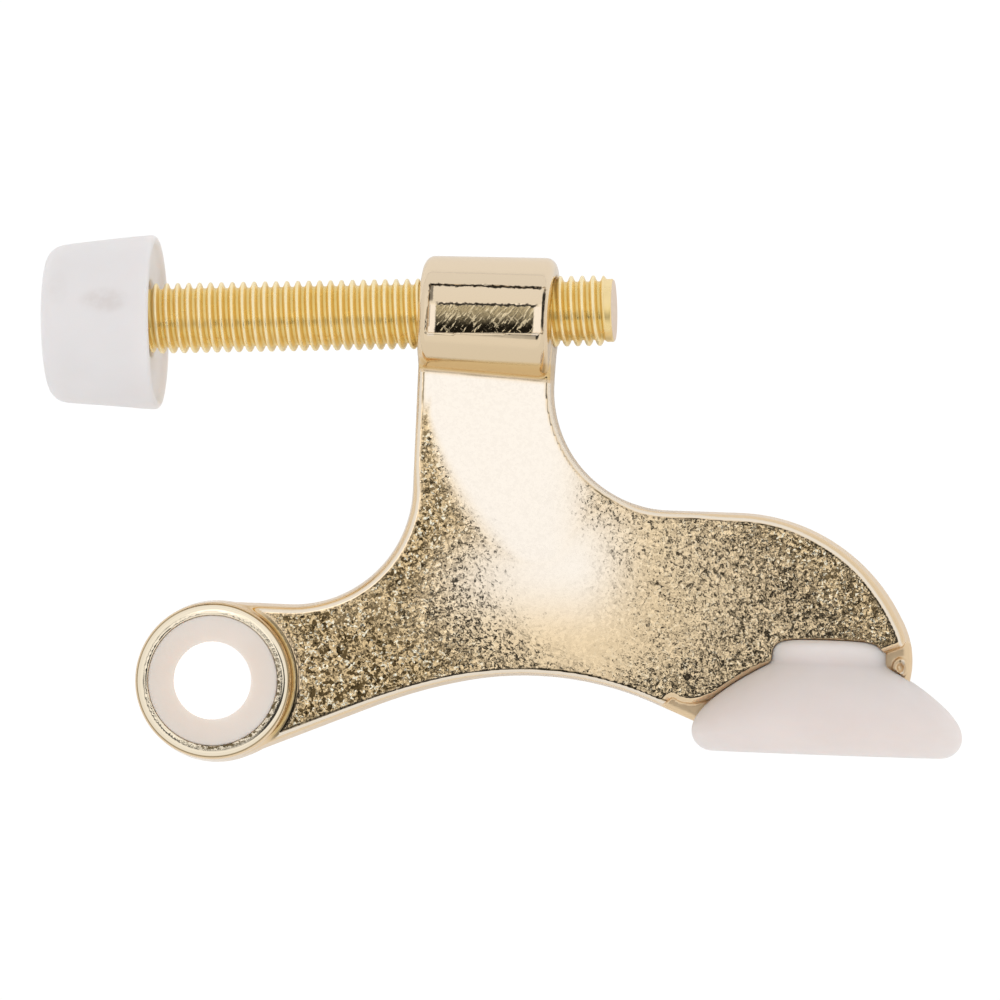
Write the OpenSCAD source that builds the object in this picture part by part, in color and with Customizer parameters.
// Cast arm that swings on a hinge pin, with a bumper fixed in its lower edge and a
// threaded rod through its boss that carries a tip bumper.
// The hinge-pin axis is z, through the origin. The arm lies in the xy plane, centred on
// z = 0, with its wing towards +x. The rod runs along x at y = rod_y, its tip bumper
// at the -x end. The fixed bumper's contact face looks towards -y.

/* [Hinge-pin eye] */
// Outside diameter of the cast eye that drops over the hinge pin, mm
eye_d = 18.4; // [17.8:0.1:19.2]
// Height of the eye along the hinge pin, mm
eye_h = 9; // [8:0.1:11]
// Bore of the nylon bushings, a clearance hole on a 5/16 in hinge pin, mm
pin_bore_d = 8.8; // [8.2:0.1:9.2]
// Diameter of the bushing flange, mm
bush_flange_d = 14.8; // [13.6:0.1:15.2]
// Thickness of the bushing flange, mm
bush_flange_t = 2.0; // [1.2:0.1:2.4]
// Outside diameter of the bushing sleeve behind its flange, mm
bush_sleeve_d = 12.0; // [11.2:0.1:12.6]
// How far each bushing stops short of the middle of the eye, mm
bush_gap = 0.05; // [0.02:0.01:0.2]

/* [Arm plate] */
// Thickness of the cast arm, mm
plate_t = 5.5; // [5:0.1:6.5]
// Depth to which the arm's rounded shoulder eats into its flat face, mm
shoulder = 1.0; // [0.6:0.05:1.2]
// Height of the drafted side wall above and below the parting line, mm
wall_half = 1.85; // [1.5:0.05:2.1]
// Inside radius where the arm turns up into the neck on the eye side, mm
r_elbow_left = 13.5; // [11:0.5:15]
// Inside radius where the neck turns out into the wing, mm
r_elbow_right = 13.65; // [11:0.5:15]
// Outside radius of the wing's shoulder, mm
r_wing = 21.2; // [18:0.2:21.6]
// Outside radius of the wing's end, mm
r_wing_end = 9.7; // [7:0.1:9.9]
// Inside radius of the arch under the arm, mm
r_arch = 37.0; // [30:0.5:38]
// Larger radius that eases the arch into the straight run to the eye, mm
r_arch_ease = 59.0; // [40:1:60]

/* [Boss] */
// Distance from the hinge-pin axis to the rod axis, mm
rod_y = 41.35; // [41:0.05:41.7]
// Diameter of the cast boss at its end nearer the tip bumper, mm
boss_d0 = 13.2; // [12.8:0.05:13.6]
// Diameter of the cast boss at its other end, mm
boss_d1 = 14.25; // [13.8:0.05:14.6]
// Where the boss starts along the rod, mm
boss_x0 = 24.05; // [23.8:0.05:24.4]
// Where the boss ends along the rod, mm
boss_x1 = 39.4; // [39:0.05:39.8]
// Rounding at both ends of the boss, mm
boss_round = 1.2; // [0.8:0.1:1.6]
// Angle by which the casting's neck leans against the rod, degrees
skew = 3.1; // [2.5:0.1:3.5]
// Angle by which the boss's own axis leans against the rod, degrees
boss_lean = 4.0; // [3:0.1:4.5]
// How far the boss's axis sits below the rod's at mid length, mm
boss_drop = 0.73; // [0.5:0.01:0.9]
// Length of the flat window sunk into each side of the boss, mm
window_l = 13.0; // [11:0.1:13.2]
// Width of the flat window, mm
window_w = 5.4; // [4.5:0.1:6]
// Distance of the window's floor from the middle plane of the boss, mm
window_z = 5.85; // [5.7:0.05:6]

/* [Threaded rod] */
// Major diameter of the rod's thread, mm
thread_d = 8.0; // [7.8:0.05:8]
// Thread pitch, mm
pitch = 1.25; // [1:0.25:1.5]
// Depth of the thread, mm
thread_depth = 0.67; // [0.5:0.01:0.77]
// Radial clearance between the thread and the boss's hole, mm
thread_clear = 0.05; // [0.02:0.01:0.1]
// Free end of the rod, beyond the boss, mm
rod_end_x = 46.0; // [44:0.1:48]
// End of the thread inside the tip bumper, mm
rod_start_x = -7.6; // [-8:0.1:-6.5]
// Diameter of the turned neck that the tip bumper grips, mm
rod_neck_d = 5.2; // [4.6:0.1:5.6]
// Diameter of the barbed head at the end of the rod, mm
rod_head_d = 6.8; // [6.4:0.1:7.2]

/* [Tip bumper] */
// Position of the tip bumper's front face at its rim, mm
tip_x0 = -18.75; // [-19:0.05:-18]
// Position of the tip bumper's back edge, mm
tip_x1 = -6.15; // [-6.3:0.05:-5.5]
// Diameter near the front face, mm
tip_front_d = 17.9; // [16.5:0.1:18.5]
// Diameter at the back edge, mm
tip_back_d = 20.0; // [18.6:0.1:20.5]
// Depth of the dished back face, mm
tip_dish = 0.8; // [0.5:0.1:1]
// Clearance between the tip bumper and the rod inside it, mm
tip_clear = 0.05; // [0.02:0.01:0.1]

/* [Fixed bumper] */
// Contact face centre, across from the hinge-pin axis, mm
pad_x = 69.36; // [69:0.01:69.6]
// Height of the contact face centre, mm
pad_y = -9.43; // [-9.6:0.01:-9.3]
// Largest diameter of the bumper, mm
pad_d = 30.7; // [29.6:0.1:31.2]
// Diameter of the flat contact face, mm
pad_face_d = 26.6; // [25:0.1:27]
// Diameter of the neck that straddles the arm, mm
pad_neck_d = 13.5; // [12.8:0.1:14]
// Total height from the contact face to the top of the neck, mm
pad_h = 12.9; // [12.4:0.1:13.4]
// Lean of the bumper's axis, degrees
pad_lean = 2.9; // [2.5:0.1:3.2]
// Thickness of the casting's tongue inside the bumper, mm
tongue_t = 2.8; // [2.4:0.1:3.2]
// Gap between the bumper's slot and the tongue, each side, mm
slot_gap = 0.04; // [0.02:0.01:0.1]
// Gap between the bumper and the wall of the seat, mm
seat_gap = 0.3; // [0.2:0.05:0.8]
// Diameter of the tongue's hole that the bumper's stud snaps into, mm
stud_hole_d = 4.0; // [3.6:0.1:4.4]

/* [Hidden] */
$fn = 96;
eye_r = eye_d / 2;
flange_z = eye_h / 2 - bush_flange_t;
plate_half = plate_t / 2;
tongue_half = tongue_t / 2;
thread_r = thread_d / 2;
cut = 5; // reach of the cutting shapes

// ---- Helpers ----

function dir(a) = [cos(a), sin(a)];
function right_of(a) = [sin(a), -cos(a)];
function wrap(a) = a > 180 ? a - 360 : a < -180 ? a + 360 : a;
function reverse(list) = [for (i = [len(list) - 1:-1:0]) list[i]];

// Where the line through p with heading a crosses the line through q with heading b
function meet(p, a, q, b) = p + dir(a) * (cross(q - p, dir(b)) / cross(dir(a), dir(b)));

// Solid of revolution from a profile of [place along the axis, radius], axis on z
module turned(profile) {
  rotate_extrude() polygon([for (p = profile) [p[1], p[0]]]);
}

// The same with its axis on x
module turned_x(profile) {
  rotate([0, 90, 0]) turned(profile);
}

// ---- Arm outline ----

top_heading = -3.26;
low_heading = 199.9;
run_r = eye_r - 0.12; // the outline's first and last edges start just inside the eye's rim

// Straight edges of the arm, clockwise with the metal on the right:
// [point on the edge, heading, radius of the fillet to the next edge, steps in it]
edges = [
  [run_r * dir(90 + top_heading), top_heading, r_elbow_left, 10],
  [[23.47, 34.46], 90 - skew - 0.26, 0, 0],
  [[31.8, rod_y + 1.2], -skew, 0, 0],
  [[38.93, 32.58], -90 - skew - 0.8, r_elbow_right, 10],
  [[59.9, 18.14], -2.88, r_wing, 12],
  [[72.40, 17.71], -63.97, r_wing_end, 6],
  [[80.01, 2.13], -106.15, 1.5, 2],
  [[68, -7.25], 179, 1.5, 2],
  [[35.88, 3.16], 155.16, r_arch, 9],
  [[28.93, -0.33], 190, r_arch_ease, 4],
  [run_r * dir(low_heading + 90), low_heading]
];
last_edge = len(edges) - 1;

function edge_point(i, inset) = edges[i][0] + inset * right_of(edges[i][1]);

// Arc that rounds the corner at p, between heading a and a turn of so many degrees
function fillet(p, a, turn, r, steps) =
  let (side = turn > 0 ? 1 : -1,
       centre = p - r * tan(abs(turn) / 2) * dir(a) - side * r * right_of(a),
       start = a - side * 90)
  [for (i = [0:steps]) centre + r * dir(start + turn * i / steps)];

// Corner between edge i and the next; its radius follows the inset
function corner(i, inset) =
  let (a = edges[i][1], b = edges[i + 1][1], r = edges[i][2],
       turn = wrap(b - a),
       p = meet(edge_point(i, inset), a, edge_point(i + 1, inset), b))
  r <= 0 ? [p] : fillet(p, a, turn, max(0.2, r + (turn > 0 ? inset : -inset)), edges[i][3]);

// Outline pulled in by inset all round
function outline(inset) = concat(
  [edge_point(0, inset)],
  [for (i = [0:last_edge - 1]) each corner(i, inset)],
  [edge_point(last_edge, inset)]);

// Drafted side wall and rounded shoulder as steps: [half height, inset of the outline]
levels = [
  [wall_half * 0.4, 0],
  [wall_half * 0.75, shoulder * 0.09],
  [wall_half, shoulder * 0.19],
  [plate_half - 0.5, shoulder * 0.34],
  [plate_half - 0.22, shoulder * 0.56],
  [plate_half, shoulder]
];

module plate() {
  for (l = levels)
    translate([0, 0, -l[0]]) linear_extrude(2 * l[0]) polygon(outline(l[1]));
}

// ---- Eye ----

// Rounded rim: [distance in from the end face, distance in from the eye's radius]
eye_rim = [[0, 1.1], [0.2, 0.62], [0.75, 0.32]];

module eye() {
  half = eye_h / 2;
  turned(concat(
    [[-half, 0]],
    [for (p = eye_rim) [-half + p[0], eye_r - p[1]]],
    [[0, eye_r]],
    reverse([for (p = eye_rim) [half - p[0], eye_r - p[1]]]),
    [[half, 0]]));
}

// ---- Boss ----

boss_l = boss_x1 - boss_x0;
window_rise = 0.7; // window's centre line above the boss's axis

// Rounding of an end, in shares of boss_round: [in from the end, in from the radius]
boss_end = [[0, 1], [0.13, 0.5], [0.5, 0.13], [1, 0]];

module boss_frame() {
  translate([(boss_x0 + boss_x1) / 2, rod_y - boss_drop, 0]) rotate([0, 0, -boss_lean]) children();
}

// A tapered cylinder with rounded ends
module boss() {
  half = boss_l / 2;
  boss_frame() turned_x(concat(
    [[-half, 0]],
    [for (p = boss_end) [-half + p[0] * boss_round, boss_d0 / 2 - p[1] * boss_round]],
    reverse([for (p = boss_end) [half - p[0] * boss_round, boss_d1 / 2 - p[1] * boss_round]]),
    [[half, 0]]));
}

module window_cut() {
  boss_frame()
    translate([-window_l / 2, -window_w / 2 + window_rise, window_z]) cube([window_l, window_w, 4]);
}

// ---- Fixed bumper's shape and its seat ----

pad_r = pad_d / 2;
pad_neck_r = pad_neck_d / 2;

// Side profile: [height above the contact face, radius]
pad_profile = [
  [0, pad_face_d / 2], [0.25, pad_face_d / 2 + 0.95],
  [0.75, pad_r - 0.45], [1.5, pad_r - 0.1], [2.3, pad_r], [3.1, pad_r - 0.12],
  [3.85, pad_r - 0.45], [5.2, pad_r - 1.53], [6.5, pad_r - 2.97], [7.9, pad_r - 4.85],
  [9.0, pad_r - 6.58], [9.9, pad_neck_r + 0.4], [10.3, pad_neck_r],
  [pad_h - 1.3, pad_neck_r], [pad_h - 0.6, pad_neck_r - 0.25],
  [pad_h - 0.15, pad_neck_r - 0.85], [pad_h, pad_neck_r - 1.7]
];
// The seat follows the profile between these heights
seat_from = 4.5;
seat_to = 10.2;
// Middle of the stud, on the bumper's axis
stud_at = [pad_x, pad_y] + 5.4 * dir(90 - pad_lean);

module pad_frame() {
  translate([pad_x, pad_y, 0]) rotate([0, 0, -pad_lean]) children();
}

// The shape that the seat leaves clear round the bumper, seen flat on the arm
module seat_shape(gap) {
  // +x half, from below the arm up to the top of the neck
  half = concat(
    [[pad_d, -6], [pad_d, -2]],
    [for (p = pad_profile) if (p[0] > seat_from && p[0] < seat_to) [p[1] + gap, p[0] + gap * 0.3]],
    [[pad_neck_r + 0.15, 10.9], [pad_neck_r + 0.15, pad_h - 0.5], [pad_neck_r - 1.2, pad_h + 0.15]]);
  pad_frame() polygon(concat([for (p = half) [-p[0], p[1]]], reverse(half)));
}

// ---- Nodes ----

module arm_casting() {
  color([0.86, 0.76, 0.55])
  difference() {
    union() {
      plate();
      eye();
      boss();
    }
    // bushing seats: a counterbore from each side and a smaller through bore
    for (z = [flange_z, -flange_z - cut])
      translate([0, 0, z]) cylinder(d = bush_flange_d, h = cut);
    translate([0, 0, -2 * cut]) cylinder(d = bush_sleeve_d, h = 4 * cut);
    // hole that carries the rod
    translate([boss_x0 - cut, rod_y, 0]) rotate([0, 90, 0])
      cylinder(d = thread_d + 2 * thread_clear, h = boss_l + 2 * cut);
    // flat windows
    window_cut();
    mirror([0, 0, 1]) window_cut();
    // seat of the fixed bumper: thins the arm to its tongue
    for (z = [tongue_half, -tongue_half - cut])
      translate([0, 0, z]) linear_extrude(cut) seat_shape(seat_gap);
    translate([stud_at[0], stud_at[1], -cut]) cylinder(d = stud_hole_d, h = 2 * cut);
  }
}

// The +z half of the split nylon bushing, flange outwards
module bushing_half() {
  core_r = pin_bore_d / 2 - 1; // inside the bore, which is cut afterwards
  face_z = eye_h / 2 - 0.1;
  color([0.93, 0.89, 0.85])
  difference() {
    turned([
      [bush_gap, core_r], [bush_gap, bush_sleeve_d / 2],
      [flange_z, bush_sleeve_d / 2], [flange_z, bush_flange_d / 2],
      [face_z, bush_flange_d / 2], [face_z, core_r]]);
    cylinder(d = pin_bore_d, h = 3 * eye_h, center = true);
  }
}

module front_bushing() { bushing_half(); }
module rear_bushing() { mirror([0, 0, 1]) bushing_half(); }

module fixed_bumper() {
  color([0.89, 0.86, 0.85])
  union() {
    difference() {
      pad_frame() rotate([-90, 0, 0]) turned(concat([[0, 0]], pad_profile, [[pad_h, 0]]));
      // slot that takes the tongue
      translate([0, 0, -tongue_half - slot_gap])
        linear_extrude(tongue_t + 2 * slot_gap) polygon(outline(-slot_gap));
    }
    // stud moulded across the slot, snapped into the tongue's hole
    translate([stud_at[0], stud_at[1], -tongue_half - 1])
      cylinder(d = stud_hole_d - 0.1, h = tongue_t + 2);
  }
}

// Barbed head: a cone from nose_r to head_r, then a short cylinder
head_r = rod_head_d / 2;
nose_r = head_r - 1.3;
neck_r = rod_neck_d / 2;
head_x0 = tip_x0 + 3.0;
barb_x = head_x0 + 1.5;
head_x1 = head_x0 + 2.4;
plain_end = 0.9; // least length without grooves at each end of the thread
thread_x0 = rod_start_x + plain_end;
grooves = floor((rod_end_x - plain_end - thread_x0) / pitch);

// The thread is a row of ring grooves: [share of the pitch, share of the depth]
groove = [[0, 0], [0.08, 0], [0.44, 1], [0.60, 1], [0.96, 0]];

module threaded_rod() {
  color([0.86, 0.68, 0.32])
  translate([0, rod_y, 0]) turned_x(concat(
    [[head_x0, 0], [head_x0, nose_r], [barb_x, head_r], [head_x1, head_r], [head_x1, neck_r]],
    [[rod_start_x, neck_r], [rod_start_x, thread_r - thread_depth]],
    [for (i = [0:grooves - 1]) for (p = groove)
      [thread_x0 + (i + p[0]) * pitch, thread_r - p[1] * thread_depth]],
    [[rod_end_x - 0.55, thread_r], [rod_end_x, thread_r - 0.5], [rod_end_x, 0]]));
}

module tip_bumper() {
  front_r = tip_front_d / 2;
  back_r = tip_back_d / 2;
  clear = tip_clear;
  face_x = tip_x0 - 0.2;
  dish_x = tip_x1 - tip_dish;
  taper = (back_r - front_r) / (tip_x1 - tip_x0);
  color([0.89, 0.87, 0.86])
  translate([0, rod_y, 0]) turned_x(concat(
    // front face and its rounded rim
    [[face_x, 0], [face_x, front_r * 0.5], [tip_x0, front_r - 2.0], [tip_x0 + 0.2, front_r - 1.1],
     [tip_x0 + 0.65, front_r - 0.4], [tip_x0 + 1.4, front_r + 0.02]],
    // side
    [[tip_x0 + 6, front_r + 6 * taper + 0.15], [tip_x1 - 1.0, back_r - 0.05],
     [tip_x1 - 0.4, back_r - 0.12], [tip_x1 - 0.1, back_r - 0.35], [tip_x1, back_r - 0.8]],
    // dished back
    [[tip_x1 - tip_dish * 0.4, back_r - 1.5], [dish_x, back_r - 2.6],
     [dish_x, thread_r + 0.35], [dish_x - 0.3, thread_r + clear]],
    // pocket for the end of the thread, the neck and the head
    [[rod_start_x - clear, thread_r + clear], [rod_start_x - clear, neck_r + clear],
     [head_x1 + clear, neck_r + clear], [head_x1 + clear, head_r + clear],
     [barb_x, head_r + clear], [head_x0 - clear, nose_r + clear], [head_x0 - clear, 0]]));
}

arm_casting();
front_bushing();
rear_bushing();
fixed_bumper();
threaded_rod();
tip_bumper();
